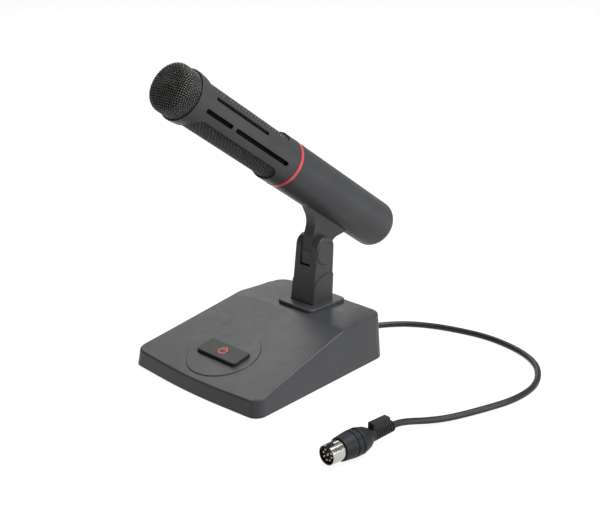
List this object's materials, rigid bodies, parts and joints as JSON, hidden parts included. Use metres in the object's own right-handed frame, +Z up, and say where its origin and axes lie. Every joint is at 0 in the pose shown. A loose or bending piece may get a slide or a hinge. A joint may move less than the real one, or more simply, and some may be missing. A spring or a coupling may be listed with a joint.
{
  "type": "desk conference microphone",
  "caption": "Desk microphone: wedge base with a power button, a clevis post, a tilting tubular microphone with a slotted mesh front, and a cord with a round plug.",
  "frame": {"origin": "on the underside of the base, midway between its sides and 67 mm in front of its rear wall, on the surface it stands on", "axes": "+Z up, -Y towards the talker (the low front of the wedge and the microphone's head), +X to the talker's right, the side the plug lies on"},
  "size_m": [0.265, 0.2362, 0.2256],
  "materials": {
    "charcoal_plastic": "fine satin texture, charcoal",
    "button_plastic": "fine satin texture, darker than the base",
    "component_black": "plain moulded, black",
    "black_mesh": "woven steel wire, black",
    "black_foam": "open-cell acoustic foam",
    "red_anodised": "red satin lacquer",
    "red_print": "red inlay",
    "pad_rubber": "matt, finely ribbed",
    "cord_rubber": "smooth satin sheath",
    "plug_rubber": "moulded, satin",
    "nickel": "nickel plate",
    "pin_brass": "plated contact pins",
    "zinc_steel": "zinc plated",
    "cast_weight": "rough cast",
    "board_laminate": "solder-masked laminate"
  },
  "bodies": {
    "base": {"base_cover": "charcoal_plastic", "bottom_plate": "zinc_steel", "ballast_weight": "cast_weight", "non_slip_pad": "pad_rubber", "bottom_screws": "zinc_steel", "circuit_board": "board_laminate", "board_components": "component_black", "board_screws": "zinc_steel", "power_switch": "component_black", "cord_gland": "cord_rubber", "post_plate": "charcoal_plastic", "post": "charcoal_plastic", "post_screws": "zinc_steel", "pivot_bolt": "zinc_steel", "pivot_nut": "zinc_steel", "pivot_cap_right": "charcoal_plastic", "pivot_cap_left": "charcoal_plastic", "friction_washers": "component_black", "cord_lead": "cord_rubber", "cord_hank": "cord_rubber", "hank_tie": "cord_rubber", "cord_line": "cord_rubber", "plug_shell": "nickel", "plug_insulator": "component_black", "plug_pins": "pin_brass", "plug_body": "plug_rubber", "plug_strain_relief": "plug_rubber"},
    "power_button": {"power_button": "button_plastic", "button_symbol": "red_print", "switch_plunger": "component_black"},
    "microphone": {"neck": "charcoal_plastic", "neck_screws": "zinc_steel", "rear_housing": "charcoal_plastic", "accent_ring": "red_anodised", "coupling_ring": "component_black", "front_sleeve": "charcoal_plastic", "mesh_tube": "black_mesh", "foam_liner": "black_foam", "head_grille": "black_mesh", "head_foam": "black_foam", "mic_capsule": "nickel", "capsule_holder": "component_black", "preamp_board": "board_laminate"}
  },
  "joints": [
    {"name": "mic_tilt", "type": "hinge", "parent": "base", "child": "microphone", "pos_m": [0, 0.0478, 0.0725], "axis": [-1, 0, 0], "range_deg": [-40, 35]},
    {"name": "button_press", "type": "slide", "parent": "base", "child": "power_button", "axis": [0, 0.2275, -0.9738], "range_m": [0, 0.0012], "stiffness_N_per_m": 500, "springref_m": -0.0015}
  ]
}
